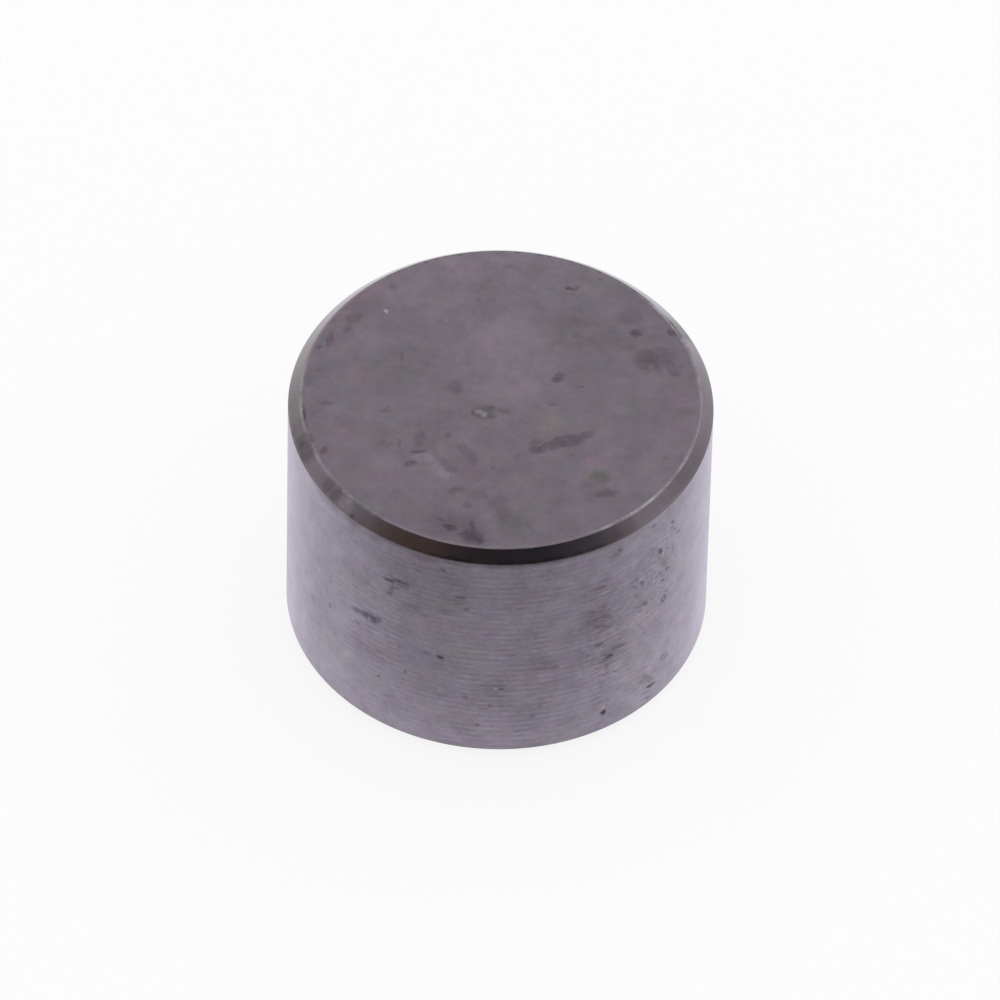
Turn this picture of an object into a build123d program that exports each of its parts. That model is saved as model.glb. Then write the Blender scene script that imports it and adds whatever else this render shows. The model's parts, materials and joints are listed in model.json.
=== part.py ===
from build123d import *
import os

# Valve shim: the small hardened-steel disc that sets the clearance between a cam follower and
# the tip of a valve stem. It is turned from bar, through-hardened, ground on its rim and lapped
# on both faces, all in one piece. This one is thick for its diameter. Both rims have a narrow
# 45 degree lead-in, so that the shim drops into its pocket either way up, and lapping leaves a
# fine rounded edge where each face meets its lead-in.
#
# Frame: the origin is the centre of the lower face, and +Z runs up the shim's axis.

# Driving dimensions in millimetres
rim_diameter = 10.0  # over the ground rim, which guides the shim in its pocket
thickness = 7.1  # over the two lapped faces, the size that sets the valve clearance
lead_in = 0.28  # leg of the 45 degree chamfer on each rim, as lapping leaves it
edge_round = 0.08  # radius where a lapped face meets its chamfer


with BuildPart() as valve_shim:
    # The blank, parted off from bar
    with BuildSketch(Plane.XY):
        Circle(rim_diameter / 2)
    extrude(amount=thickness)

    # The lead-in on the upper and the lower rim
    chamfer(valve_shim.edges().filter_by(GeomType.CIRCLE), length=lead_in)

    # The fine rounded edge around each lapped face
    lapped_faces = valve_shim.faces().filter_by(Axis.Z)
    fillet(lapped_faces.edges(), radius=edge_round)

valve_shim.part.label = "valve_shim"

os.makedirs("parts", exist_ok=True)
export_step(valve_shim.part, "parts/valve_shim.step")
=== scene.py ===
import json
import math
from collections import namedtuple

import bpy
from mathutils import Euler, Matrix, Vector, noise


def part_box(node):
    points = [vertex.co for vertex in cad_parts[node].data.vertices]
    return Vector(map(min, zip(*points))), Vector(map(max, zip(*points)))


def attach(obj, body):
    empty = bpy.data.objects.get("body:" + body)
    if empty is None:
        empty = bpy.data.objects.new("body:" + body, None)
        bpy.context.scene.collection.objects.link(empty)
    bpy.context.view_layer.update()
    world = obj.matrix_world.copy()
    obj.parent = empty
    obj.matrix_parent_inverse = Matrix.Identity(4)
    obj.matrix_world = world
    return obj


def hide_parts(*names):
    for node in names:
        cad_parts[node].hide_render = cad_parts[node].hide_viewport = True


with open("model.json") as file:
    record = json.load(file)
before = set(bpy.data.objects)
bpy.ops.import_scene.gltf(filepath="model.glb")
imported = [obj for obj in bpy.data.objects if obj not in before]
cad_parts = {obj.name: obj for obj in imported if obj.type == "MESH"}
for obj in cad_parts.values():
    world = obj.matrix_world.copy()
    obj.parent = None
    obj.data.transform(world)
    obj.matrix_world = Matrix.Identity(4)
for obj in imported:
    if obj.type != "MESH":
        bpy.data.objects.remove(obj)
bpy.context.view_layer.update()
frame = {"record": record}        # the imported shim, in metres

# The looks of a valve shim: a short hardened-steel cylinder with stained lapped faces, narrow
# chamfers and fine turning rings round its rim, under a thin film of oil.
#
# Places are in the frame's own axes: the origin is the centre of the lower face and +Z is up.
# Angles round the rim are in degrees from the front, which faces -Y, and grow towards +X.

MM = 0.001

# Sizes from the frame, in metres
low_corner, high_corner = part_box("valve_shim")
rim_mount = next(mount for mount in frame["record"]["mounts"] if mount["name"] == "rim")
rim_radius = rim_mount["dims"]["r_mm"] * MM
rim_height = rim_mount["dims"]["length_mm"] * MM
thickness = high_corner.z - low_corner.z
chamfer_leg = (thickness - rim_height) / 2

# Sizes of the fine forms, in metres
face_round = 0.08 * MM  # where a lapped face meets its chamfer
rim_round = 0.03 * MM  # where a chamfer meets the rim
ring_depth = 0.0013 * MM  # of the turning rings, where they are deepest
ring_patch = 0.7 * MM  # about the length of a stretch where they are worn
face_row_gap = 0.1 * MM  # between the upper face's rows of points

# Counts
ring_count = 36  # turning rings up the rim
rows_per_ring = 5
segments = 320  # round the shim
face_round_steps = 6
rim_round_steps = 3
slope_steps = 4  # down the flat of a chamfer
plain_row_step = 6  # the lower face is plain, so it has one row for this many of the upper one

# Where a round of radius q starts, from the corner of two lines that turn by 45 degrees, as a
# share of q
SETBACK = math.tan(math.radians(22.5))

face_end = rim_radius - chamfer_leg - face_round * SETBACK
rim_top = thickness - chamfer_leg - rim_round * SETBACK
rim_foot = thickness - rim_top
ring_pitch = (rim_top - rim_foot) / ring_count

# Parts of the surface, in the order of their finishes
PARTS = ["upper_face", "chamfer", "rim", "lower_face"]


# The mesh

def corner_arc(radius, height, size, from_angle, to_angle, steps):
    """Points of a rounded corner in the half section, about its centre at (radius, height)."""
    points = []
    for step in range(steps + 1):
        angle = math.radians(from_angle + (to_angle - from_angle) * step / steps)
        points.append((radius + size * math.cos(angle), height + size * math.sin(angle)))
    return points


def spread(start, end, count):
    """Evenly spaced points of the half section, after start and before end."""
    points = []
    for step in range(1, count):
        share = step / count
        radius = start[0] + (end[0] - start[0]) * share
        height = start[1] + (end[1] - start[1]) * share
        points.append((radius, height))
    return points


def section_rows():
    """The shim's half section as rows of (radius, height, part), from the upper centre down."""
    face = spread((0.0, thickness), (face_end, thickness), round(face_end / face_row_gap))
    edge = corner_arc(face_end, thickness - face_round, face_round, 90, 45, face_round_steps)
    foot = corner_arc(rim_radius - rim_round, rim_top, rim_round, 45, 0, rim_round_steps)
    slope = edge + spread(edge[-1], foot[0], slope_steps) + foot
    rim = spread((rim_radius, rim_top), (rim_radius, rim_foot), ring_count * rows_per_ring)
    rows = [(r, z, "upper_face") for r, z in face]
    rows += [(r, z, "chamfer") for r, z in slope]
    rows += [(r, z, "rim") for r, z in rim]
    rows += [(r, thickness - z, "chamfer") for r, z in reversed(slope)]
    rows += [(r, thickness - z, "lower_face") for r, z in reversed(face[::plain_row_step])]
    return rows


def ring_cut(x, y, height):
    """How deep the turning rings cut into the rim at a place. They are worn shallow in patches."""
    turns = (rim_top - height) / ring_pitch
    unworn = 0.5 + 1.8 * noise.noise(Vector((x, y, 1.8 * height)) / ring_patch)
    depth = ring_depth * min(max(unworn, 0.05), 1.0)
    return depth * (0.5 - 0.5 * math.cos(2 * math.pi * turns))


def shim_vertices(rows):
    """The rows turned round the axis, between the centres of the two faces."""
    vertices = [(0.0, 0.0, thickness)]
    for radius, height, part in rows:
        for step in range(segments):
            angle = 2 * math.pi * step / segments
            x = radius * math.sin(angle)
            y = -radius * math.cos(angle)
            share = 1 - ring_cut(x, y, height) / radius if part == "rim" else 1.0
            vertices.append((x * share, y * share, height))
    vertices.append((0.0, 0.0, 0.0))
    return vertices


def shim_faces(rows):
    """The faces between the rows, and the number of each face's part."""
    last_row = 1 + (len(rows) - 1) * segments
    lower_centre = last_row + segments
    faces = []
    numbers = []
    for step in range(segments):
        following = (step + 1) % segments
        faces.append((0, 1 + step, 1 + following))
        numbers.append(PARTS.index("upper_face"))
        faces.append((last_row + step, lower_centre, last_row + following))
        numbers.append(PARTS.index("lower_face"))
    for row in range(len(rows) - 1):
        # A face between a chamfer and another part belongs to the other part
        above = rows[row][2]
        below = rows[row + 1][2]
        part = above if below == "chamfer" else below
        for step in range(segments):
            here = 1 + row * segments + step
            beside = 1 + row * segments + (step + 1) % segments
            faces.append((here, here + segments, beside + segments, beside))
            numbers.append(PARTS.index(part))
    return faces, numbers


def build_shim():
    """The whole shim as one revolved mesh, with one finish for each part of its surface."""
    rows = section_rows()
    faces, numbers = shim_faces(rows)
    mesh = bpy.data.meshes.new("shim_steel")
    mesh.from_pydata(shim_vertices(rows), [], faces)
    mesh.polygons.foreach_set("material_index", numbers)
    mesh.polygons.foreach_set("use_smooth", [True] * len(faces))
    mesh.validate()
    shim = bpy.data.objects.new("shim_steel", mesh)
    bpy.context.scene.collection.objects.link(shim)
    return shim


# The materials

# Colours of bare steel
LAPPED_STEEL = (0.131, 0.104, 0.134)
CHAMFER_STEEL = (0.126, 0.100, 0.118)
RIM_STEEL = (0.144, 0.124, 0.153)
# Worn steel, which also paints the highlight along the upper edge
WORN_STEEL_AND_HIGHLIGHT = (0.74, 0.70, 0.79, 1)

# Colours of what is on it
FACE_STAIN = (0.028, 0.013, 0.027, 1)
CHAMFER_STAIN = (0.014, 0.011, 0.010, 1)
RIM_STAIN = (0.014, 0.008, 0.014, 1)
NICK = (0.030, 0.024, 0.026, 1)
PIT = (0.012, 0.009, 0.016, 1)
BROWN = (0.034, 0.028, 0.022, 1)
# Painted glints, where bare metal catches the light
FACE_GLINT = (0.9, 0.85, 0.85, 1)
CHAMFER_GLINT = (0.6, 0.55, 0.55, 1)
RIM_GLINT = (0.9, 0.85, 0.9, 1)
OIL_SHEEN = (0.6, 0.4, 1.0, 1)

# Tints that the steel's colour is multiplied by, where a list of marks says so
FACE_OLIVE_TINT = (0.97, 1.03, 0.88)
FACE_PINK_TINT = (1.09, 0.96, 0.98)
CHAMFER_WARM_TINT = (0.97, 1.02, 0.86)
RIM_OLIVE_TINT = (0.97, 1.03, 0.90)
RIM_PINK_TINT = (1.06, 0.97, 0.99)

# A number far beyond every place and strength
FAR = 1e6


class Finish:
    """One steel finish, with short calls that add nodes to it."""

    def __init__(self, name):
        self.material = bpy.data.materials.new(name)
        self.material.use_nodes = True
        self.tree = self.material.node_tree
        self.shader = self.tree.nodes["Principled BSDF"]

    def feed(self, socket, value):
        """Links a socket to another node's output, or sets its own value."""
        if isinstance(value, bpy.types.NodeSocket):
            self.tree.links.new(value, socket)
        else:
            socket.default_value = value

    def node(self, kind, inputs, **settings):
        """Adds a node with its settings, and feeds the inputs given by name or number."""
        made = self.tree.nodes.new("ShaderNode" + kind)
        for key, value in settings.items():
            setattr(made, key, value)
        for key, value in inputs.items():
            self.feed(made.inputs[key], value)
        return made

    def math(self, operation, *values):
        """The result of one sum on numbers."""
        return self.node("Math", dict(enumerate(values)), operation=operation).outputs[0]

    def vector(self, operation, *values):
        """The result of one sum on vectors or colours."""
        made = self.node("VectorMath", dict(enumerate(values)), operation=operation)
        return made.outputs["Value" if operation == "LENGTH" else "Vector"]

    def scaled(self, vector, factor):
        """A vector or colour times one number."""
        return self.node("VectorMath", {0: vector, "Scale": factor}, operation="SCALE").outputs[0]

    def join(self, x, y, z=0.0):
        """A vector from its numbers."""
        return self.node("CombineXYZ", {0: x, 1: y, 2: z}).outputs[0]

    def stretched(self, along, up, along_scale, up_scale):
        """The place on the rim with its two directions scaled apart, so that noise is drawn out."""
        return self.join(self.math("MULTIPLY", along, along_scale), self.math("MULTIPLY", up, up_scale))

    def ramp(self, value, low, high, to_low, to_high):
        """Goes smoothly from to_low at low to to_high at high, and stays there beyond."""
        inputs = {"Value": value, "From Min": low, "From Max": high, "To Min": to_low, "To Max": to_high}
        return self.node("MapRange", inputs, interpolation_type="SMOOTHSTEP").outputs[0]

    def noise(self, vector, scale, detail=2.0, roughness=0.5, as_colour=False):
        """Blender's noise, about 0.5 on average. Scale is in cells for each millimetre."""
        inputs = {"Vector": vector, "Scale": scale, "Detail": detail, "Roughness": roughness}
        return self.node("TexNoise", inputs).outputs["Color" if as_colour else 0]

    def mix(self, share, first, second):
        """The first colour at share 0, the second at share 1, from the Mix node's colour sockets."""
        made = self.node("Mix", {0: share, 6: first, 7: second}, data_type="RGBA")
        return made.outputs[2]

    def place(self):
        """The point on the shim in millimetres, as one vector and as its x, y and z."""
        point = self.scaled(self.node("TexCoord", {}).outputs["Object"], 1 / MM)
        parts = self.node("SeparateXYZ", {0: point})
        return point, parts.outputs[0], parts.outputs[1], parts.outputs[2]

    def unrolled(self):
        """The rim laid out flat, in millimetres: along it from the front, and up from the foot."""
        _, x, y, z = self.place()
        angle = self.math("ARCTAN2", x, self.math("MULTIPLY", y, -1.0))
        return self.math("MULTIPLY", angle, rim_radius / MM), z

    def frayed(self, vector, size, scale):
        """The vector shifted about by noise, so that what is drawn with it has ragged edges."""
        drift = self.noise(vector, scale, 3.0, 0.6, as_colour=True)
        centred = self.vector("SUBTRACT", drift, (0.5, 0.5, 0.5))
        moved = self.vector("ADD", vector, self.scaled(centred, size))
        return self.vector("MULTIPLY", moved, (1.0, 1.0, 0.0))

    def mark(self, flat, mark):
        """One soft-edged oval: its strength inside, 0 outside. Only the place's x and y count."""
        inputs = {
            "Vector": flat,
            "Location": (mark.across, mark.up, 0),
            "Rotation": (0, 0, math.radians(mark.turn)),
            "Scale": (mark.long, mark.wide, FAR),
        }
        own = self.node("Mapping", inputs, vector_type="TEXTURE").outputs[0]
        return self.ramp(self.vector("LENGTH", own), 1 + mark.edge, 1 - mark.edge, 0.0, mark.strength)

    def strongest(self, flat, marks):
        """The strongest mark at each place, gathered in z beside the place itself.

        Each mark feeds the next, because a renderer has no room for dozens of them side by side.
        """
        for mark in marks:
            found = self.join(-FAR, -FAR, self.mark(flat, mark))
            flat = self.vector("MAXIMUM", flat, found)
        return self.node("SeparateXYZ", {0: flat}).outputs[2]

    def total(self, flat, marks):
        """All of the marks at each place added up, and gathered in z in the same way."""
        for mark in marks:
            flat = self.vector("ADD", flat, self.join(0.0, 0.0, self.mark(flat, mark)))
        return self.node("SeparateXYZ", {0: flat}).outputs[2]

    def uneven(self, base, point, scale, light, tint):
        """The base colour, made uneven by noise: by light in brightness and by tint in hue."""
        grain = self.noise(point, scale, 7.0, 0.76)
        hues = self.noise(point, scale * 1.4, 6.0, 0.72, as_colour=True)
        factor = self.vector("MULTIPLY_ADD", hues, (tint,) * 3, (1 - tint / 2,) * 3)
        colour = self.vector("MULTIPLY", base, factor)
        return self.scaled(colour, self.math("MULTIPLY_ADD", grain, light, 1 - light / 2)), grain

    def stained(self, colour, flat, marks, stain):
        """The colour with stains, whose edges and inside are a little uneven."""
        strength = self.strongest(flat, marks)
        patchy = self.math("MULTIPLY_ADD", self.noise(flat, 5.0, 3.0, 0.6), 1.2, 0.4)
        share = self.node("Clamp", {"Value": self.math("MULTIPLY", strength, patchy)}).outputs[0]
        return self.mix(share, colour, stain), share

    def tinted(self, colour, flat, marks, tint):
        """The colour times a tint, where the marks are."""
        return self.mix(self.strongest(flat, marks), colour, self.vector("MULTIPLY", colour, tint))

    def oil_film(self, stain):
        """The film of oil, full on clean steel and thin on stains."""
        return self.math("MULTIPLY_ADD", stain, -0.7, 1.0)

    def sheen(self, weight):
        """The violet sheen of old oil at grazing angles."""
        self.shader.inputs["Sheen Weight"].default_value = weight
        self.shader.inputs["Sheen Roughness"].default_value = 0.5
        self.shader.inputs["Sheen Tint"].default_value = OIL_SHEEN

    def steel(self, colour, roughness, film, bump_height, bump_depth):
        """Links the finish to the shader: bare metal under a thin film of oil, film being 0 to 1."""
        self.feed(self.shader.inputs["Base Color"], colour)
        self.feed(self.shader.inputs["Roughness"], roughness)
        self.feed(self.shader.inputs["Coat Weight"], film)
        self.shader.inputs["Metallic"].default_value = 1.0
        self.shader.inputs["Coat Roughness"].default_value = 0.28
        self.shader.inputs["Coat IOR"].default_value = 1.5
        inputs = {"Height": bump_height, "Distance": bump_depth * MM, "Strength": 1.0}
        bump = self.node("Bump", inputs)
        self.feed(self.shader.inputs["Normal"], bump.outputs[0])
        return self.material


# A mark is an oval. Its place is in millimetres: on the face across and up are x and y, and on
# the rim across is measured along it from the front and up from the lower face. long and wide
# are half lengths, turn is in degrees, edge is how soft its outline is, and strength is how far
# it takes the steel towards the stain's colour or tint, or how much it adds to the brightness or
# to a texture.
Mark = namedtuple("Mark", "across up long wide turn edge strength")


def face_marks(*rows):
    """Marks on the upper face, one for each row of a mark's values."""
    return [Mark(*row) for row in rows]


def rim_marks(*rows):
    """Marks on the rim or a chamfer, where the first value of a row is in degrees round the shim."""
    return [Mark(math.radians(degrees) * rim_radius / MM, *rest) for degrees, *rest in rows]


def far_side(strength):
    """Rows for the whole far side of the rim, on both sides of the seam at the very back."""
    return [(back, 3.4, 8.8, 9.0, 0, 0.12, strength) for back in (-180, 180)]


FACE_STAINS = face_marks(
    # The pit near the centre: a dark ring with darker lobes, and its tail
    (-0.40, -0.46, 0.25, 0.22, 0, 0.5, 0.32),
    (-0.25, -0.31, 0.12, 0.09, 11, 0.5, 0.42),
    (-0.20, -0.59, 0.12, 0.08, 11, 0.5, 0.36),
    (-0.63, -0.49, 0.12, 0.05, -75, 0.5, 0.36),
    (0.05, -0.39, 0.17, 0.08, -24, 0.6, 0.24),
    (0.14, -0.43, 0.09, 0.07, 0, 0.6, 0.32),
    # The long smear to the right of it: its lobe, its neck, its body and its tip
    (0.92, -1.55, 0.20, 0.16, -5, 0.4, 0.42),
    (0.85, -1.40, 0.16, 0.11, 10, 0.6, 0.32),
    (1.20, -1.46, 0.28, 0.14, 18, 0.4, 0.36),
    (1.58, -1.31, 0.42, 0.20, 14, 0.3, 0.37),
    (1.92, -1.16, 0.32, 0.12, 24, 0.4, 0.36),
    # Round spots
    (-1.08, 0.34, 0.22, 0.15, 84, 0.5, 0.28),
    (-1.05, 0.26, 0.12, 0.12, 0, 0.6, 0.32),
    (1.35, 0.73, 0.15, 0.11, 42, 0.5, 0.40),
    (1.31, 0.65, 0.12, 0.10, 10, 0.5, 0.50),
    (3.14, 2.18, 0.14, 0.12, -17, 0.45, 0.44),
    (3.99, 2.21, 0.13, 0.08, -17, 0.5, 0.48),
    (4.15, 2.12, 0.11, 0.055, -53, 0.5, 0.38),
    # The large blotch at the right, its core and the fainter stain round it
    (3.42, 1.34, 0.36, 0.32, 30, 0.35, 0.32),
    (3.54, 1.27, 0.34, 0.13, -60, 0.6, 0.36),
    (3.50, 1.50, 0.12, 0.14, 0, 0.6, 0.36),
    (3.36, 1.08, 0.13, 0.08, 10, 0.6, 0.34),
    (3.66, 1.04, 0.08, 0.11, 0, 0.6, 0.20),
    (3.80, 1.38, 0.24, 0.30, 10, 0.5, 0.22),
    (3.98, 1.16, 0.36, 0.14, -62, 0.5, 0.27),
    (4.10, 0.91, 0.13, 0.08, -33, 0.5, 0.30),
    (3.76, 1.66, 0.22, 0.08, -5, 0.6, 0.22),
    # The faint one behind it
    (2.93, 2.68, 0.30, 0.24, 8, 0.35, 0.15),
    (3.18, 2.66, 0.12, 0.14, 0, 0.5, 0.13),
    (3.02, 1.72, 0.14, 0.09, 0, 0.6, 0.18),
    # The double dot at the back, and small ones round it
    (1.63, 3.53, 0.15, 0.060, -7, 0.5, 0.48),
    (1.53, 3.55, 0.06, 0.07, -23, 0.5, 0.58),
    (1.75, 3.60, 0.07, 0.06, 0, 0.5, 0.34),
    (1.64, 3.36, 0.05, 0.04, 0, 0.6, 0.24),
    (0.16, 4.23, 0.16, 0.06, -4, 0.6, 0.20),
    (2.30, 3.86, 0.06, 0.04, 0, 0.6, 0.25),
    (-0.60, 3.13, 0.09, 0.07, 0, 0.6, 0.20),
    # The pair at the front right
    (2.36, -2.43, 0.24, 0.20, -20, 0.5, 0.28),
    (2.14, -2.62, 0.20, 0.13, 30, 0.6, 0.16),
    (2.52, -2.91, 0.26, 0.12, 8, 0.4, 0.28),
    (2.32, -3.01, 0.09, 0.06, 0, 0.5, 0.30),
    # The group at the front left
    (-1.87, -1.36, 0.26, 0.13, 84, 0.45, 0.27),
    (-1.90, -1.75, 0.17, 0.06, 8, 0.5, 0.50),
    (-2.02, -2.13, 0.10, 0.09, 8, 0.5, 0.36),
    (-2.15, -2.16, 0.08, 0.09, 0, 0.5, 0.38),
    (-1.22, -1.22, 0.10, 0.06, -58, 0.5, 0.25),
    (-1.40, -0.85, 0.22, 0.08, -60, 0.7, 0.12),
    (-2.36, -1.48, 0.13, 0.05, -85, 0.5, 0.34),
    (-2.57, -1.55, 0.16, 0.05, 20, 0.6, 0.14),
    (-2.74, -1.47, 0.10, 0.07, 20, 0.6, 0.16),
    (-0.74, -1.79, 0.38, 0.14, -52, 0.4, 0.16),
    (-0.86, -1.62, 0.17, 0.12, -48, 0.5, 0.22),
    (-0.62, -1.98, 0.15, 0.13, -48, 0.5, 0.20),
    (-1.25, -2.14, 0.30, 0.10, -43, 0.5, 0.20),
    (-1.13, -2.28, 0.14, 0.10, -13, 0.5, 0.28),
    (-1.14, -2.62, 0.03, 0.13, 0, 0.6, 0.18),
    (-4.12, -1.79, 0.12, 0.07, 60, 0.5, 0.42),
    (-4.41, -1.48, 0.06, 0.05, 0, 0.5, 0.40),
    (-1.09, -2.99, 0.09, 0.08, 0, 0.5, 0.24),
    (-0.95, -2.93, 0.12, 0.09, 0, 0.5, 0.28),
    (-0.49, -3.08, 0.24, 0.14, 0, 0.5, 0.14),
    (-0.72, -3.42, 0.12, 0.08, 2, 0.6, 0.24),
    # The dark cluster at the front edge, in its haze
    (-0.92, -4.04, 0.60, 0.34, -14, 0.8, 0.28),
    (-1.35, -3.87, 0.12, 0.06, -36, 0.5, 0.52),
    (-1.11, -4.10, 0.20, 0.12, -18, 0.5, 0.58),
    (-0.60, -4.34, 0.32, 0.22, -30, 0.5, 0.54),
    (-0.58, -4.34, 0.15, 0.10, -52, 0.5, 0.66),
    (-0.43, -4.50, 0.13, 0.09, -11, 0.5, 0.62),
    (-0.82, -4.30, 0.12, 0.07, 2, 0.5, 0.58),
    (-0.59, -4.03, 0.20, 0.06, -78, 0.5, 0.54),
    (-0.17, -4.48, 0.15, 0.08, 0, 0.6, 0.14),
    # The haze and the arc to the right of it
    (-0.01, -3.28, 0.24, 0.21, -11, 0.45, 0.18),
    (0.12, -3.54, 0.17, 0.24, 0, 0.5, 0.20),
    (0.76, -4.05, 0.20, 0.04, -62, 0.6, 0.16),
    # Stains along the back left edge
    (-3.48, 2.45, 0.24, 0.16, 40, 0.5, 0.26),
    (-3.66, 2.09, 0.12, 0.07, 10, 0.5, 0.32),
    (-4.06, 1.72, 0.26, 0.07, 76, 0.6, 0.28),
    (-4.30, 1.50, 0.07, 0.05, 50, 0.5, 0.36),
    (-3.20, 2.80, 0.38, 0.24, 50, 0.6, 0.14),
    (-2.61, 3.46, 0.12, 0.09, 30, 0.5, 0.22),
    (-3.38, 3.16, 0.22, 0.05, 48, 0.6, 0.16),
    (-2.36, 1.25, 0.06, 0.12, 0, 0.5, 0.28),
    (-2.42, 0.92, 0.20, 0.05, 0, 0.6, 0.10),
    (-4.66, 0.02, 0.05, 0.06, 0, 0.5, 0.14),
    # Small faint specks
    (1.25, -0.18, 0.12, 0.04, 8, 0.5, 0.28),
    (1.74, 0.42, 0.14, 0.045, -11, 0.6, 0.15),
    (1.88, 0.41, 0.07, 0.045, 0, 0.5, 0.36),
    (1.34, 1.82, 0.09, 0.05, -10, 0.6, 0.15),
    (1.73, 2.07, 0.10, 0.08, 0, 0.6, 0.17),
    (1.87, 2.45, 0.26, 0.12, 0, 0.6, 0.12),
    (1.70, -1.77, 0.07, 0.05, 0, 0.6, 0.16),
    (3.88, -1.77, 0.06, 0.10, -20, 0.6, 0.16),
    (3.05, -1.82, 0.26, 0.10, 0, 0.7, 0.08),
    (4.38, -0.27, 0.22, 0.12, 0, 0.6, 0.14),
    (4.23, 1.14, 0.09, 0.08, 0, 0.6, 0.18),
    (-4.09, -0.30, 0.15, 0.07, 0, 0.5, 0.24),
    (-2.73, -0.48, 0.13, 0.05, 15, 0.5, 0.22),
    (-3.42, -0.48, 0.16, 0.04, -8, 0.6, 0.08),
    (-4.30, 0.73, 0.12, 0.03, 0, 0.6, 0.18),
    (-0.14, -2.22, 0.06, 0.03, 60, 0.6, 0.24),
    # The dark line inside the worn left edge
    (-4.61, -0.66, 0.28, 0.045, 98, 0.5, 0.60),
    (-4.54, -1.02, 0.20, 0.04, 102, 0.6, 0.30),
    (-4.43, -1.38, 0.16, 0.05, 107, 0.6, 0.26),
)

FACE_SPECKS = face_marks(
    # Barer metal with a painted glint: in the pit, in the blotch and the smear, and two flecks
    (-0.50, -0.45, 0.09, 0.07, -36, 0.5, 0.12),
    (-0.39, -0.54, 0.07, 0.07, 0, 0.5, 0.13),
    (3.50, 1.11, 0.08, 0.06, 0, 0.7, 0.03),
    (0.91, -1.45, 0.06, 0.03, 10, 0.6, 0.06),
    (-2.75, 2.67, 0.06, 0.045, -20, 0.6, 0.22),
    (-1.35, 2.43, 0.06, 0.04, 0, 0.6, 0.05),
)

FACE_CLOUDS = face_marks(
    # Broad light areas
    (0.0, 4.4, 3.8, 1.1, 0, 0.8, 0.05),
    (3.0, 3.0, 0.8, 0.8, 0, 0.8, 0.05),
    (4.2, -1.2, 0.9, 1.8, 0, 0.7, 0.03),
    (0.9, -1.0, 0.6, 0.6, 0, 0.8, 0.05),
    (0.15, 1.20, 0.85, 1.30, 10, 0.75, 0.26),
    (0.62, 0.60, 0.35, 0.20, -30, 0.5, 0.08),
    (0.10, 1.75, 0.40, 0.50, 0, 0.7, 0.05),
    (1.30, -0.80, 0.30, 0.30, 40, 0.6, 0.12),
    (-2.60, -2.00, 0.50, 0.28, 10, 0.6, 0.08),
    (-1.79, -1.95, 0.22, 0.20, 0, 0.45, 0.32),
    (-1.45, -2.22, 0.34, 0.16, -40, 0.5, 0.15),
    (-1.34, -1.70, 0.16, 0.30, 10, 0.6, 0.12),
    (-1.30, -2.60, 0.40, 0.22, -50, 0.7, 0.08),
    (-0.60, 4.45, 1.30, 0.35, 0, 0.7, 0.10),
    (-2.80, 2.10, 1.50, 1.10, 30, 0.8, 0.05),
    (-1.80, 3.50, 0.90, 0.60, 20, 0.8, 0.11),
    (2.35, -2.02, 0.45, 0.20, 0, 0.7, 0.08),
    (-0.22, -3.85, 0.20, 0.34, 10, 0.6, 0.14),
    # Broad dark areas
    (0.30, -3.70, 0.60, 0.60, -40, 0.7, -0.08),
    (-1.00, -4.05, 1.60, 0.55, -14, 0.8, -0.10),
    (1.75, 1.90, 0.80, 1.00, 0, 0.8, -0.08),
    (3.30, 2.20, 0.80, 1.30, 30, 0.8, -0.08),
    (-2.70, 0.90, 0.90, 0.50, 0, 0.7, -0.07),
    (-2.30, -3.30, 0.70, 0.25, 0, 0.7, -0.06),
)

# Where the face has a tint of olive
FACE_OLIVE = face_marks(
    (-2.60, 0.85, 0.60, 0.30, 0, 0.6, 0.8),
    (-3.50, 2.42, 0.30, 0.20, 40, 0.6, 1.0),
    (-2.45, -1.15, 0.35, 0.22, 20, 0.7, 0.8),
    (-1.35, -1.48, 0.26, 0.24, 0, 0.7, 0.9),
    (1.60, 2.10, 0.60, 0.45, 0, 0.7, 0.7),
    (3.02, 1.78, 0.34, 0.20, 0, 0.6, 1.0),
    (0.34, -3.75, 0.40, 0.45, -40, 0.6, 1.0),
    (2.36, -2.40, 0.34, 0.26, 0, 0.6, 1.0),
    (0.55, -2.60, 0.30, 0.22, 0, 0.7, 0.7),
    (1.20, -0.78, 0.36, 0.34, 0, 0.7, 1.0),
    (4.10, 0.62, 0.40, 0.18, -30, 0.7, 0.7),
    (-3.60, -2.60, 0.50, 0.30, 40, 0.8, 0.6),
    (2.20, 3.80, 0.45, 0.20, -30, 0.7, 0.7),
    (-2.92, -1.20, 0.26, 0.20, 0, 0.7, 0.8),
    (0.95, -1.38, 0.24, 0.16, 0, 0.6, 1.0),
    (-0.40, -0.46, 0.34, 0.30, 0, 0.6, 0.8),
)

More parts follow.
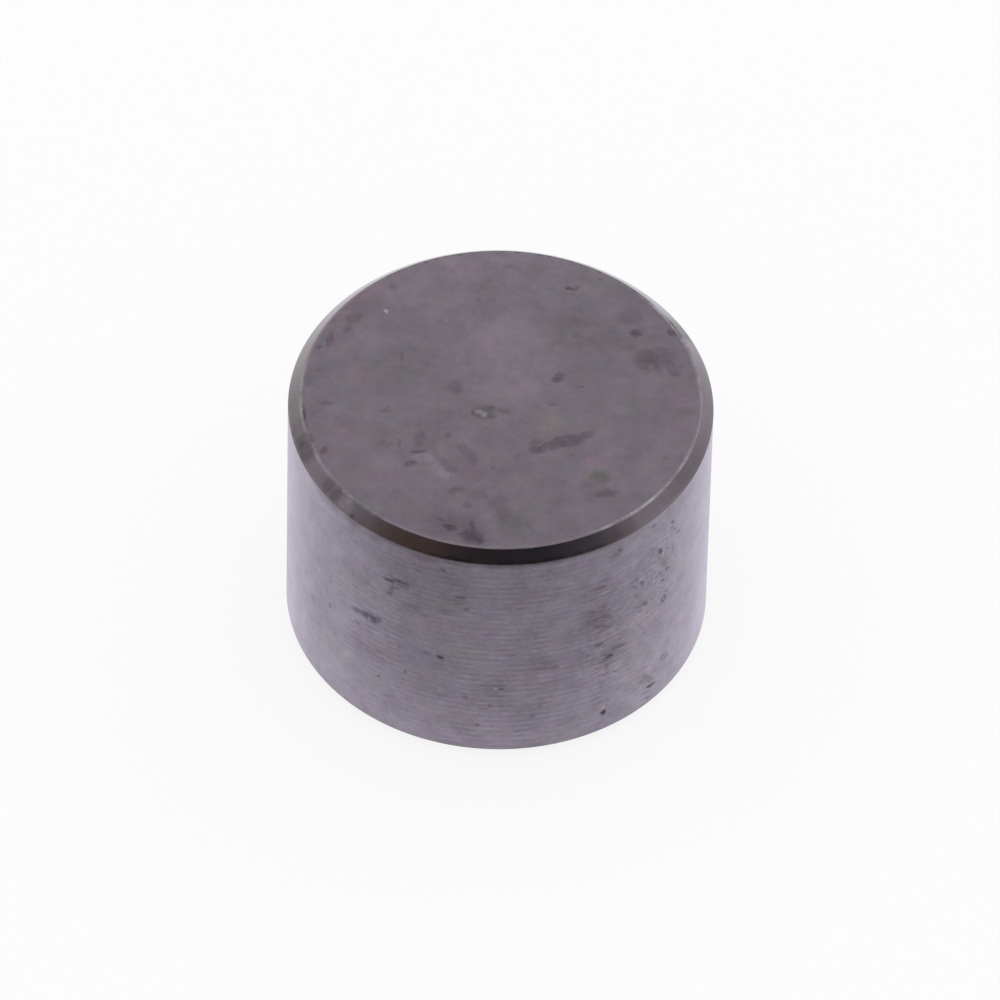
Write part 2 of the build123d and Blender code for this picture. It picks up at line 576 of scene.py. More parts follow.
# Where it has a tint of pink
FACE_PINK = face_marks(
    (-3.45, 3.05, 0.70, 0.26, 50, 0.6, 1.0),
    (-4.02, 1.80, 0.34, 0.16, 74, 0.6, 1.0),
    (-3.30, 0.55, 0.35, 0.20, 0, 0.7, 0.8),
    (2.35, -1.92, 0.40, 0.20, 0, 0.6, 1.0),
    (4.05, -0.80, 0.30, 0.25, 0, 0.7, 0.9),
    (4.30, 0.15, 0.25, 0.25, 0, 0.7, 0.8),
    (-0.72, -2.32, 0.20, 0.22, 0, 0.7, 0.9),
    (-1.49, -1.86, 0.22, 0.14, 0, 0.6, 1.0),
    (-2.50, -2.55, 0.50, 0.22, 20, 0.7, 0.7),
    (1.80, -3.10, 0.22, 0.18, 0, 0.7, 0.8),
    (1.22, -3.62, 0.22, 0.12, 0, 0.7, 0.8),
    (-3.60, -1.10, 0.30, 0.20, 0, 0.7, 0.9),
    (-0.40, 1.80, 0.25, 0.15, -30, 0.7, 0.6),
    (2.30, 1.68, 0.18, 0.10, 0, 0.7, 0.7),
    (-1.35, 4.20, 0.20, 0.12, 0, 0.7, 0.7),
    (3.70, 2.75, 0.22, 0.12, -50, 0.7, 0.7),
    (-4.10, -1.80, 0.22, 0.16, 60, 0.6, 1.0),
    (-0.50, -1.05, 0.40, 0.20, 0, 0.8, 0.7),
)


# Where the edge between the upper face and its chamfer is brightest: partly worn bare, partly a painted
# highlight where the edge catches the light
EDGE_WEAR_AND_HIGHLIGHT = rim_marks(
    (-87, 0.0, 1.2, 1.0, 0, 0.4, 0.12),
    (-68, 0.0, 1.1, 1.0, 0, 0.4, 0.09),
    (-40, 0.0, 0.9, 1.0, 0, 0.5, 0.03),
    (42, 0.0, 1.0, 1.0, 0, 0.6, 0.25),
    (62, 0.0, 0.8, 1.0, 0, 0.6, 0.13),
    (102, 0.0, 1.0, 1.0, 0, 0.6, 0.09),
    (122, 0.0, 0.9, 1.0, 0, 0.6, 0.27),
)


def worn_and_highlighted_edge(finish, colour, along, back, nearness):
    """The colour with the worn edge: barer metal and a painted highlight in broken lengths, and dark
    nicks at the back.

    back is how far back the place is, and nearness is 1 at the edge and 0 away from it.
    """
    flat = finish.join(along, 0.0)
    broken_lengths = finish.ramp(finish.noise(flat, 2.0, 5.0, 0.75), 0.36, 0.60, 0.3, 1.2)
    most = finish.math("ADD", finish.strongest(flat, EDGE_WEAR_AND_HIGHLIGHT), 0.04)
    # Barer metal and a painted highlight, in broken lengths along the edge
    bare_and_highlight = finish.math("MULTIPLY", finish.math("MULTIPLY", most, broken_lengths), nearness)
    colour = finish.mix(bare_and_highlight, colour, WORN_STEEL_AND_HIGHLIGHT)
    nicks = finish.ramp(finish.noise(flat, 3.6, 4.0, 0.7), 0.50, 0.60, 0.0, 0.75)
    nicks = finish.math("MULTIPLY", nicks, finish.ramp(back, 2.9, 4.2, 0.0, 1.0))
    return finish.mix(finish.math("MULTIPLY", nicks, nearness), colour, NICK)


def lapped_steel(finish, point):
    """What both lapped faces share: their uneven colour, its grain, roughness and fine bumps."""
    colour, grain = finish.uneven(LAPPED_STEEL, point, scale=1.5, light=1.18, tint=0.34)
    roughness = finish.math("MULTIPLY_ADD", grain, 0.12, 0.28)
    bumps = finish.noise(point, 14.0, 3.0, 0.6)
    return colour, roughness, bumps


def face_edge(finish, flat, x, y):
    """1 at the face's worn and highlighted edge and 0 inside it.

    At the right the bright line, partly worn and partly a painted highlight, is narrower in front and
    wider further back.
    """
    narrower = finish.ramp(x, 2.0, 3.6, 0.0, 0.017)
    narrower = finish.math("MULTIPLY", narrower, finish.ramp(y, -2.6, -0.8, 1.0, -0.6))
    reach = finish.math("SUBTRACT", finish.vector("LENGTH", flat), narrower)
    return finish.ramp(reach, face_end / MM - 0.05, face_end / MM, 0.0, 1.0)


def face_finish():
    """The upper face: satin lapped steel, clouded and stained, with a bright worn edge that is partly a
    painted highlight.
    """
    finish = Finish("lapped_steel")
    point, x, y, _ = finish.place()
    flat = finish.join(x, y)
    along, _ = finish.unrolled()
    drifting = finish.frayed(flat, 0.4, 1.2)
    ragged = finish.frayed(flat, 0.17, 5.0)

    colour, roughness, bumps = lapped_steel(finish, point)
    light = finish.math("ADD", finish.total(drifting, FACE_CLOUDS), 1.0)
    colour = finish.scaled(colour, light)
    colour = finish.tinted(colour, drifting, FACE_OLIVE, FACE_OLIVE_TINT)
    colour = finish.tinted(colour, drifting, FACE_PINK, FACE_PINK_TINT)
    # The edge: worn metal and a painted highlight
    colour = worn_and_highlighted_edge(finish, colour, along, y, face_edge(finish, flat, x, y))
    colour, stain = finish.stained(colour, ragged, FACE_STAINS, FACE_STAIN)
    colour = finish.mix(finish.strongest(ragged, FACE_SPECKS), colour, FACE_GLINT)
    return finish.steel(colour, roughness, finish.oil_film(stain), bumps, 0.002)


def underside_finish():
    """The lower face: the same lapped steel, without the stains."""
    finish = Finish("underside_steel")
    point, _, _, _ = finish.place()
    colour, roughness, bumps = lapped_steel(finish, point)
    return finish.steel(colour, roughness, 1.0, bumps, 0.002)


CHAMFER_STAINS = rim_marks(
    # The slate patch at the left, with its darker core
    (-70.8, 6.98, 0.46, 0.40, 0, 0.4, 0.42),
    (-72.3, 6.98, 0.12, 0.10, 0, 0.6, 0.56),
    (-77.0, 6.97, 0.30, 0.34, 0, 0.7, 0.22),
    # The brown blotches before the dark front
    (-55.0, 6.98, 0.20, 0.14, 15, 0.5, 0.36),
    (-51.3, 6.95, 0.16, 0.14, 20, 0.5, 0.40),
    (-43.3, 6.87, 0.08, 0.05, 0, 0.6, 0.66),
    (-41.5, 6.98, 0.34, 0.30, 0, 0.6, 0.32),
    (-36.0, 6.96, 0.16, 0.30, 0, 0.6, 0.22),
    (37, 7.0, 0.35, 0.5, 0, 0.5, 0.30),
    (67, 7.0, 0.80, 0.5, 0, 0.5, 0.18),
    (120, 7.0, 0.40, 0.5, 0, 0.5, 0.60),
    # The darker lower corner at the front
    (3, 6.81, 2.9, 0.05, 0, 0.8, 0.70),
)

CHAMFER_SPECKS = rim_marks(
    # Painted glints on the chamfer's upper edge at the left
    (-46.6, 7.00, 0.08, 0.05, 20, 0.6, 0.09),
    (-47.6, 6.90, 0.12, 0.05, 0, 0.6, 0.05),
    (-45.2, 6.92, 0.14, 0.08, 0, 0.6, 0.05),
    (-50.2, 7.09, 0.03, 0.02, 0, 0.6, 0.12),
    (-47.5, 7.09, 0.03, 0.02, 0, 0.6, 0.12),
    (-44.0, 7.09, 0.05, 0.02, 0, 0.6, 0.08),
    # The lower corner at both sides, rubbed and with a painted glint
    (-76, 6.82, 1.4, 0.04, 0, 0.6, 0.07),
    (54, 6.82, 1.1, 0.04, 0, 0.6, 0.07),
)

# Painted light and shade on the chamfer: lighter at the back left, darker at the very back and at the
# right
CHAMFER_PAINTED_LIGHT = rim_marks(
    (-118, 7.0, 1.7, 2.0, 0, 0.5, 0.40),
    (-176, 7.0, 2.4, 2.0, 0, 0.5, -0.48),
    (168, 7.0, 2.2, 2.0, 0, 0.5, -0.48),
    (60, 7.0, 0.8, 2.0, 0, 0.6, -0.12),
    (104, 7.0, 1.3, 2.0, 0, 0.6, -0.10),
)

# Where it is warmer
CHAMFER_WARM = rim_marks(
    (-95, 7.0, 1.6, 2.0, 0, 0.5, 1.0),
)


def chamfer_finish():
    """The chamfers: smoother turned steel, with darker stains."""
    finish = Finish("chamfer_steel")
    point, _, y, z = finish.place()
    along, up = finish.unrolled()
    flat = finish.join(along, up)
    streaky = finish.stretched(along, up, 0.5, 4.0)
    ragged = finish.frayed(flat, 0.15, 4.0)

    colour, _ = finish.uneven(CHAMFER_STEEL, streaky, scale=1.4, light=0.9, tint=0.3)
    # Painted light and shade round the chamfer
    colour = finish.scaled(colour, finish.math("ADD", finish.total(flat, CHAMFER_PAINTED_LIGHT), 1.0))
    colour = finish.tinted(colour, flat, CHAMFER_WARM, CHAMFER_WARM_TINT)
    # The chamfer's upper edge: worn metal and a painted highlight, as on the face
    edge = finish.ramp(z, thickness / MM - 0.035, thickness / MM - 0.012, 0.0, 1.0)
    colour = worn_and_highlighted_edge(finish, colour, along, y, edge)
    colour, stain = finish.stained(colour, ragged, CHAMFER_STAINS, CHAMFER_STAIN)
    colour = finish.mix(finish.strongest(ragged, CHAMFER_SPECKS), colour, CHAMFER_GLINT)
    finish.sheen(0.12)
    return finish.steel(colour, 0.25, finish.oil_film(stain), finish.noise(point, 10.0, 3.0, 0.6), 0.001)


RIM_STAINS = rim_marks(
    # The K-shaped scuff at the left: its two bars, its leg and the fainter stain round them
    (-30.0, 5.44, 0.15, 0.07, 9, 0.5, 0.60),
    (-30.0, 5.60, 0.10, 0.07, 5, 0.7, 0.20),
    (-28.5, 5.50, 0.07, 0.06, 30, 0.5, 0.50),
    (-26.6, 5.56, 0.20, 0.045, -2, 0.45, 0.58),
    (-24.9, 5.54, 0.09, 0.06, -2, 0.5, 0.56),
    (-26.3, 5.42, 0.16, 0.06, 0, 0.7, 0.40),
    (-29.2, 5.22, 0.18, 0.055, 80, 0.5, 0.38),
    (-28.2, 5.26, 0.12, 0.04, 20, 0.5, 0.40),
    (-29.8, 5.00, 0.09, 0.07, 0, 0.5, 0.46),
    # The slanting scuff below it
    (-39.9, 3.76, 0.24, 0.09, 11, 0.5, 0.46),
    (-36.6, 3.81, 0.26, 0.11, 8, 0.5, 0.60),
    (-35.2, 3.80, 0.14, 0.13, -51, 0.5, 0.68),
    (-33.4, 3.89, 0.13, 0.075, 2, 0.5, 0.50),
    (-40.4, 3.34, 0.10, 0.045, 0, 0.6, 0.42),
    # Dashes in the smudged area to the right of both
    (-21.5, 6.62, 0.16, 0.08, 0, 0.6, 0.30),
    (-17.8, 6.70, 0.24, 0.07, 0, 0.6, 0.28),
    (-9.8, 5.56, 0.14, 0.05, 0, 0.5, 0.50),
    (-9.6, 5.34, 0.12, 0.04, 0, 0.6, 0.34),
    (-13.8, 5.74, 0.16, 0.03, 0, 0.6, 0.16),
    (-23.8, 4.82, 0.22, 0.045, -4, 0.6, 0.26),
    (-13.7, 5.01, 0.14, 0.05, 0, 0.6, 0.22),
    (-19.3, 4.68, 0.12, 0.04, 0, 0.6, 0.22),
    (-22.0, 5.33, 0.12, 0.035, 0, 0.6, 0.30),
    # Single dark pits
    (-14.8, 3.34, 0.10, 0.055, -4, 0.4, 0.76),
    (-18.3, 3.37, 0.12, 0.055, 6, 0.6, 0.28),
    (-14.6, 6.42, 0.09, 0.05, -8, 0.5, 0.46),
    (-51.3, 3.13, 0.06, 0.06, 30, 0.5, 0.42),
    (-24.8, 2.46, 0.04, 0.06, 0, 0.5, 0.45),
    (-33.0, 1.89, 0.05, 0.05, 30, 0.5, 0.60),
    (-4.3, 1.13, 0.05, 0.05, 0, 0.5, 0.44),
    (-7.6, 2.08, 0.06, 0.05, 0, 0.5, 0.34),
    (-1.0, 1.85, 0.04, 0.07, 0, 0.5, 0.34),
    (-2.6, 1.74, 0.14, 0.025, 0, 0.6, 0.36),
    (-7.8, 5.18, 0.07, 0.05, 0, 0.5, 0.46),
    (-56.5, 2.04, 0.09, 0.04, 20, 0.6, 0.34),
    (-63.5, 3.30, 0.10, 0.06, 30, 0.6, 0.16),
    (-59.7, 2.72, 0.12, 0.16, 0, 0.7, 0.22),
    (-57.0, 4.30, 0.08, 0.20, 10, 0.7, 0.20),
    (-29.8, 1.34, 0.18, 0.04, 20, 0.6, 0.22),
    # The string of specks down the right
    (55.0, 6.10, 0.10, 0.05, -35, 0.5, 0.50),
    (54.6, 5.93, 0.07, 0.04, -30, 0.5, 0.58),
    (56.0, 5.77, 0.10, 0.05, -35, 0.5, 0.42),
    (57.5, 5.56, 0.11, 0.05, -35, 0.5, 0.42),
    (49.9, 5.44, 0.11, 0.07, -64, 0.5, 0.84),
    (49.9, 5.28, 0.10, 0.05, -78, 0.5, 0.20),
    (52.2, 5.72, 0.06, 0.04, -30, 0.5, 0.50),
    (55.3, 5.18, 0.06, 0.20, 8, 0.6, 0.36),
    (51.9, 4.84, 0.12, 0.075, -60, 0.6, 0.46),
    (52.9, 4.62, 0.09, 0.07, 0, 0.5, 0.66),
    (50.2, 4.66, 0.14, 0.05, -50, 0.6, 0.30),
    (51.4, 4.96, 0.14, 0.20, 0, 0.8, 0.22),
    (52.0, 3.63, 0.12, 0.10, -70, 0.5, 0.74),
    (53.1, 1.47, 0.17, 0.11, -30, 0.6, 0.48),
    (42.9, 4.83, 0.09, 0.06, -40, 0.5, 0.66),
    (43.4, 4.72, 0.08, 0.035, -50, 0.5, 0.22),
    (40.5, 4.81, 0.10, 0.03, -40, 0.6, 0.46),
    (44.3, 3.99, 0.12, 0.07, -20, 0.5, 0.60),
    (42.9, 4.00, 0.17, 0.05, -14, 0.6, 0.42),
    (43.6, 4.10, 0.26, 0.13, 0, 0.8, 0.18),
    # Dark groups right of the front
    (34.9, 6.45, 0.08, 0.05, -45, 0.5, 0.48),
    (34.0, 6.34, 0.16, 0.10, 0, 0.8, 0.26),
    (46.8, 6.56, 0.10, 0.06, -10, 0.5, 0.44),
    (29.4, 4.40, 0.36, 0.52, 0, 0.8, 0.20),
    (29.7, 4.94, 0.18, 0.045, -8, 0.5, 0.16),
    (29.5, 4.70, 0.14, 0.035, -24, 0.5, 0.28),
    (28.0, 4.60, 0.22, 0.035, -14, 0.5, 0.46),
    (29.6, 4.42, 0.16, 0.035, -6, 0.5, 0.28),
    (30.8, 4.30, 0.20, 0.05, -18, 0.5, 0.48),
    (29.3, 4.06, 0.22, 0.06, -14, 0.5, 0.34),
    (31.2, 3.92, 0.14, 0.055, -36, 0.5, 0.36),
    (29.2, 3.38, 0.13, 0.055, 1, 0.5, 0.62),
    (31.0, 3.44, 0.09, 0.04, 10, 0.5, 0.16),
    (31.6, 2.85, 0.34, 0.24, 0, 0.8, 0.28),
    (30.8, 2.97, 0.12, 0.06, -4, 0.5, 0.44),
    (32.2, 2.82, 0.15, 0.08, -8, 0.5, 0.78),
    (30.5, 2.70, 0.11, 0.055, -8, 0.5, 0.46),
    (33.8, 3.00, 0.06, 0.08, 40, 0.5, 0.44),
    (36.4, 2.98, 0.16, 0.04, -4, 0.5, 0.66),
    (29.0, 5.40, 0.16, 0.045, 0, 0.6, 0.46),
    (24.4, 5.32, 0.06, 0.07, 0, 0.6, 0.28),
    (13.8, 3.18, 0.34, 0.24, 0, 0.8, 0.16),
    (13.4, 3.05, 0.18, 0.04, 0, 0.5, 0.36),
    (15.6, 3.20, 0.16, 0.04, 0, 0.5, 0.34),
    (11.4, 3.38, 0.20, 0.03, 0, 0.5, 0.28),
    (16.4, 3.02, 0.12, 0.045, 0, 0.5, 0.48),
    (1.8, 2.45, 0.08, 0.035, 0, 0.4, 0.68),
    (5.4, 6.70, 0.14, 0.06, 0, 0.5, 0.14),
    (14.1, 6.46, 0.06, 0.03, 0, 0.5, 0.42),
    (12.7, 1.74, 0.05, 0.03, -30, 0.5, 0.32),
    (10.8, 1.39, 0.06, 0.03, -30, 0.5, 0.44),
    (31.2, 0.87, 0.075, 0.085, -19, 0.45, 0.92),
    (46.0, 1.19, 0.30, 0.13, -60, 0.6, 0.42),
    (44.6, 1.24, 0.12, 0.16, 0, 0.7, 0.38),
    (47.9, 0.84, 0.18, 0.055, -12, 0.5, 0.80),
    (46.2, 0.72, 0.14, 0.06, -22, 0.5, 0.30),
    (46.8, 0.48, 0.09, 0.05, -20, 0.5, 0.34),
)

# Bare metal with a painted glint, in the pits and scuffs
RIM_SPECKS = rim_marks(
    (31.3, 1.07, 0.05, 0.05, 0, 0.6, 0.12),
    (51.9, 3.62, 0.05, 0.04, -79, 0.6, 0.20),
    (30.8, 2.86, 0.12, 0.03, -8, 0.6, 0.10),
    (53.0, 1.49, 0.06, 0.03, -30, 0.6, 0.12),
    (46.2, 1.02, 0.04, 0.06, 0, 0.6, 0.14),
    (0.6, 2.45, 0.05, 0.04, 0, 0.6, 0.12),
    (-31.0, 4.37, 0.06, 0.06, 0, 0.6, 0.05),
    (-36.4, 3.74, 0.03, 0.06, 10, 0.6, 0.12),
)

# Smudges, uneven tone and painted light on the rim
RIM_TONE_AND_PAINTED_LIGHT = rim_marks(
    # A darker, smudged area under the chamfer at the left of the front
    (-21.0, 5.75, 1.35, 1.05, 0, 0.5, -0.16),
    (-14.0, 5.25, 0.55, 0.30, 10, 0.6, -0.07),
    (0.0, 6.3, 1.2, 0.5, 0, 0.7, -0.08),
    (-5.0, 5.6, 0.8, 1.0, 0, 0.7, -0.05),
    # Broad lighter and darker areas of the rest: the tall bands towards both sides, lighter from foot to
    # top, are painted light, and the smaller patches make the tone uneven
    (-60.0, 3.5, 2.4, 4.5, 0, 0.35, 0.28),
    (-38.0, 0.7, 1.6, 0.7, 0, 0.7, 0.17),
    (-26.0, 1.4, 1.3, 0.8, 0, 0.8, 0.07),
    (46.0, 2.6, 1.2, 4.5, 0, 0.5, 0.12),
    (48.0, 1.6, 1.0, 1.3, 0, 0.7, 0.08),
    (72.0, 2.4, 1.6, 4.5, 0, 0.4, 0.12),
    (-84.0, 3.4, 1.1, 4.5, 0, 0.5, 0.34),
    (84.0, 3.4, 1.2, 4.5, 0, 0.5, 0.36),
    (-44.0, 2.6, 2.3, 0.8, 0, 0.7, 0.09),
    (36.0, 2.0, 1.8, 1.0, 0, 0.7, 0.17),
    (41.0, 3.6, 0.5, 0.6, 0, 0.7, 0.17),
    (-10.0, 4.6, 1.1, 0.5, 0, 0.7, -0.05),
    (68.0, 1.6, 1.0, 0.9, 0, 0.7, 0.10),
    (62.0, 4.4, 0.6, 0.9, 0, 0.7, 0.10),
    (40.0, 6.3, 0.5, 0.4, 0, 0.7, 0.09),
    (42.0, 4.6, 1.0, 0.7, 0, 0.8, -0.06),
    (29.0, 4.3, 0.6, 0.6, 0, 0.8, -0.05),
)

# Where the rim is browner just under the chamfer at the left, and darker in a band along the front
RIM_BROWN = rim_marks(
    (-51.5, 6.78, 0.55, 0.20, 0, 0.9, 0.36),
    (-43.0, 6.78, 0.30, 0.16, 0, 0.8, 0.42),
    (-35.8, 6.70, 0.26, 0.16, 0, 0.8, 0.34),
    (-63.0, 6.84, 0.70, 0.05, 0, 0.6, 0.24),
    (-20.0, 6.82, 1.60, 0.09, 0, 0.8, 0.50),
    (-21.0, 6.70, 0.34, 0.13, 0, 0.8, 0.40),
    (-11.0, 6.76, 0.40, 0.10, 0, 0.8, 0.36),
    (8.0, 6.83, 2.40, 0.08, 0, 0.8, 0.66),
    (-1.0, 6.78, 0.30, 0.09, 0, 0.8, 0.50),
)

# Where the rim has a tint of olive
RIM_OLIVE = rim_marks(
    (-27.0, 5.95, 0.50, 0.35, 0, 0.7, 1.0),
    (-12.0, 5.25, 0.50, 0.25, 0, 0.7, 1.0),
    (-7.0, 3.6, 0.50, 0.50, 0, 0.8, 0.6),
    (51.5, 4.85, 0.24, 0.35, 0, 0.6, 1.0),
    (44.0, 4.05, 0.30, 0.20, 0, 0.7, 0.8),
    (45.8, 1.15, 0.30, 0.35, 0, 0.6, 1.0),
    (36.0, 3.4, 0.50, 0.80, 0, 0.8, 0.6),
    (-40.0, 4.6, 0.70, 0.30, 0, 0.7, 0.8),
    (-52.0, 1.8, 0.60, 0.35, 0, 0.7, 0.8),
    (58.0, 4.6, 0.50, 0.60, 0, 0.7, 0.8),
    (40.0, 2.2, 0.50, 0.35, 0, 0.7, 0.8),
)

# Where it has a tint of pink
RIM_PINK = rim_marks(
    (-22.0, 6.45, 0.30, 0.30, 0, 0.7, 1.0),
    (-15.0, 4.5, 0.80, 0.40, 0, 0.8, 0.6),
    (30.5, 3.9, 0.60, 0.60, 0, 0.8, 0.6),
    (12.0, 2.9, 0.60, 0.40, 0, 0.8, 0.6),
    (-46.0, 5.4, 0.60, 0.40, 0, 0.7, 0.8),
    (-34.0, 2.8, 0.60, 0.35, 0, 0.7, 0.8),
    (48.0, 3.2, 0.50, 0.40, 0, 0.7, 0.9),
    (62.0, 2.2, 0.60, 0.60, 0, 0.7, 0.9),
)

# Where the painted light and shade of the turning rings is strongest: at the front, where the light
# catches them, and all round the far side
RIM_RING_SHADING = rim_marks(
    (-3, 3.4, 4.1, 5.0, 0, 0.3, 0.085),
    (4, 2.2, 1.1, 2.4, 0, 0.6, 0.055),
    (34, 3.0, 0.7, 2.6, 0, 0.5, 0.050),
    (-39, 3.7, 0.9, 1.4, 0, 0.5, 0.060),
    (-20, 3.9, 0.5, 1.0, 0, 0.5, -0.045),
    (-48, 5.3, 1.5, 1.8, 0, 0.5, -0.050),
    (50, 3.0, 1.2, 4.0, 0, 0.5, -0.030),
    *far_side(0.095),
)

# Where long streaks show most
RIM_STREAKED = rim_marks(
    (-6, 3.5, 3.4, 5.0, 0, 0.4, 0.24),
    *far_side(0.34),
)

# Where the rim is mottled rather than streaked
RIM_MOTTLED = rim_marks(
    (50, 3.5, 2.3, 5.0, 0, 0.3, 1.30),
    (-52, 3.5, 1.9, 5.0, 0, 0.4, 1.02),
    *far_side(0.45),
)

# Where the rim is pitted
RIM_PITTED = rim_marks(
    (31, 3.4, 0.55, 1.7, 0, 0.5, 0.58),
    (44, 4.3, 0.55, 1.5, 0, 0.5, 0.54),
    (52, 4.9, 0.40, 1.5, 8, 0.5, 0.72),
    (46, 1.0, 0.45, 0.6, 0, 0.5, 0.70),
    (32, 0.9, 0.30, 0.4, 0, 0.5, 0.48),
    (41, 3.4, 1.40, 3.0, 0, 0.6, 0.16),
    (-42, 3.6, 1.8, 2.8, 0, 0.6, 0.20),
    (112, 4.4, 1.2, 1.6, 0, 0.6, 0.34),
    (150, 2.0, 1.4, 1.0, 0, 0.6, 0.30),
    (-158, 4.8, 1.3, 1.1, 0, 0.6, 0.30),
    (-116, 2.6, 1.2, 1.5, 0, 0.6, 0.34),
)

# Where the rim's texture is weaker, at both sides of the photo's view
RIM_CALM = rim_marks(
    (-76, 3.4, 1.20, 9.0, 0, 0.40, 0.60),
    (76, 3.4, 1.20, 9.0, 0, 0.40, 0.60),
)


def painted_ring_shading(finish, flat, along, up):
    """Painted light and shade of the turning rings: light on their crests and dark in their grooves, in
    broken lengths.
    """
    below_top = finish.math("SUBTRACT", rim_top / MM, up)
    phase = finish.math("MULTIPLY", below_top, 2 * math.pi * MM / ring_pitch)
    dashes = finish.noise(finish.stretched(along, up, 2.2, 3.6), 1.0, 4.0, 0.65)
    broken = finish.ramp(dashes, 0.42, 0.60, 0.0, 1.9)
    strength = finish.math("MULTIPLY", finish.total(flat, RIM_RING_SHADING), broken)
    return finish.math("MULTIPLY", finish.math("COSINE", phase), strength)


def rim_texture(finish, flat, along, up, streaky):
    """What adds to the rim's brightness: the rings' painted light and shade, streaks along them,
    mottling and fine grit.
    """
    streaks = finish.math("SUBTRACT", finish.noise(streaky, 1.6, 5.0, 0.75), 0.5)
    streaked = finish.math("ADD", finish.total(flat, RIM_STREAKED), 0.11)
    streaks = finish.math("MULTIPLY", streaks, streaked)
    mottle = finish.math("SUBTRACT", finish.noise(flat, 2.2, 5.0, 0.72), 0.5)
    mottle = finish.math("MULTIPLY", mottle, finish.total(flat, RIM_MOTTLED))
    grit = finish.math("MULTIPLY_ADD", finish.noise(flat, 8.0, 2.0, 0.6), 0.30, -0.15)
    texture = finish.math("ADD", streaks, finish.math("ADD", mottle, grit))
    texture = finish.math("ADD", painted_ring_shading(finish, flat, along, up), texture)
    return finish.math("MULTIPLY", texture, finish.math("SUBTRACT", 1.0, finish.total(flat, RIM_CALM)))


def rim_pits(finish, flat, along, up):
    """How far the steel is pitted at each place, and how far it glints between the pits."""
    speckle = finish.noise(finish.stretched(along, up, 5.5, 10.0), 1.0, 2.0, 0.6)
    pitted = finish.total(flat, RIM_PITTED)
    pits = finish.math("MULTIPLY", finish.ramp(speckle, 0.56, 0.72, 0.0, 0.8), pitted)
    glints = finish.math("MULTIPLY", finish.ramp(speckle, 0.42, 0.28, 0.0, 0.16), pitted)
    return pits, glints


def rim_finish():
    """The rim: turned steel with fine rings, patchy and scuffed, and paler towards its foot, which is a
    painted reflection of bright floor close by.
    """
    finish = Finish("turned_steel")
    point, _, _, _ = finish.place()
    along, up = finish.unrolled()
    flat = finish.join(along, up)
    streaky = finish.stretched(along, up, 1.1, 3.2)
    drifting = finish.frayed(flat, 0.5, 1.0)
    ragged = finish.frayed(flat, 0.11, 7.0)

    # Painted reflection of bright floor close by: the rim is paler towards its foot
    foot = finish.ramp(up, 2.8, 0.2, 0.98, 1.44)
    light = finish.math("ADD", foot, rim_texture(finish, flat, along, up, streaky))
    # Smudges and uneven tone, and painted light towards both sides
    light = finish.math("ADD", light, finish.total(drifting, RIM_TONE_AND_PAINTED_LIGHT))
    colour, grain = finish.uneven(RIM_STEEL, point, scale=1.3, light=1.30, tint=0.31)
    colour = finish.scaled(colour, light)
    colour = finish.tinted(colour, drifting, RIM_OLIVE, RIM_OLIVE_TINT)
    colour = finish.tinted(colour, drifting, RIM_PINK, RIM_PINK_TINT)

    pits, glints = rim_pits(finish, flat, along, up)
    colour = finish.mix(pits, colour, PIT)
    colour = finish.mix(glints, colour, RIM_GLINT)
    colour, stain = finish.stained(colour, ragged, RIM_STAINS, RIM_STAIN)
    brown = finish.strongest(ragged, RIM_BROWN)
    colour = finish.mix(brown, colour, BROWN)
    colour = finish.mix(finish.strongest(ragged, RIM_SPECKS), colour, RIM_GLINT)

    roughness = finish.math("MULTIPLY_ADD", grain, 0.1, 0.30)
    oily = finish.ramp(grain, 0.30, 0.62, 0.72, 1.0)
    dry = finish.math("MAXIMUM", brown, finish.math("MAXIMUM", stain, pits))
    film = finish.math("MULTIPLY", oily, finish.math("SUBTRACT", 1.0, dry))
    finish.sheen(0.3)
    return finish.steel(colour, roughness, film, finish.noise(streaky, 6.0, 3.0, 0.6), 0.002)


# The stage

def background_share(tree):
    """1 for the camera and for reflections and refractions, which show the white background."""
    path = tree.nodes.new("ShaderNodeLightPath")
    share = path.outputs["Is Camera Ray"]
    for kind in ("Is Glossy Ray", "Is Transmission Ray"):
        either = tree.nodes.new("ShaderNodeMath")
        either.operation = "MAXIMUM"
        tree.links.new(share, either.inputs[0])
        tree.links.new(path.outputs[kind], either.inputs[1])
        share = either.outputs[0]
    return share


def set_world():
    """Soft light from all round: white where it is seen, and a little dimmer as a light."""
    world = bpy.data.worlds.new("studio")
    world.use_nodes = True
    bpy.context.scene.world = world
    tree = world.node_tree
    background = tree.nodes["Background"]
    background.inputs["Color"].default_value = (1, 1, 1, 1)
    strength = tree.nodes.new("ShaderNodeMapRange")
    strength.inputs["To Min"].default_value = 0.9  # as a light
    strength.inputs["To Max"].default_value = 1.0  # where it is seen
    tree.links.new(background_share(tree), strength.inputs["Value"])
    tree.links.new(strength.outputs[0], background.inputs["Strength"])


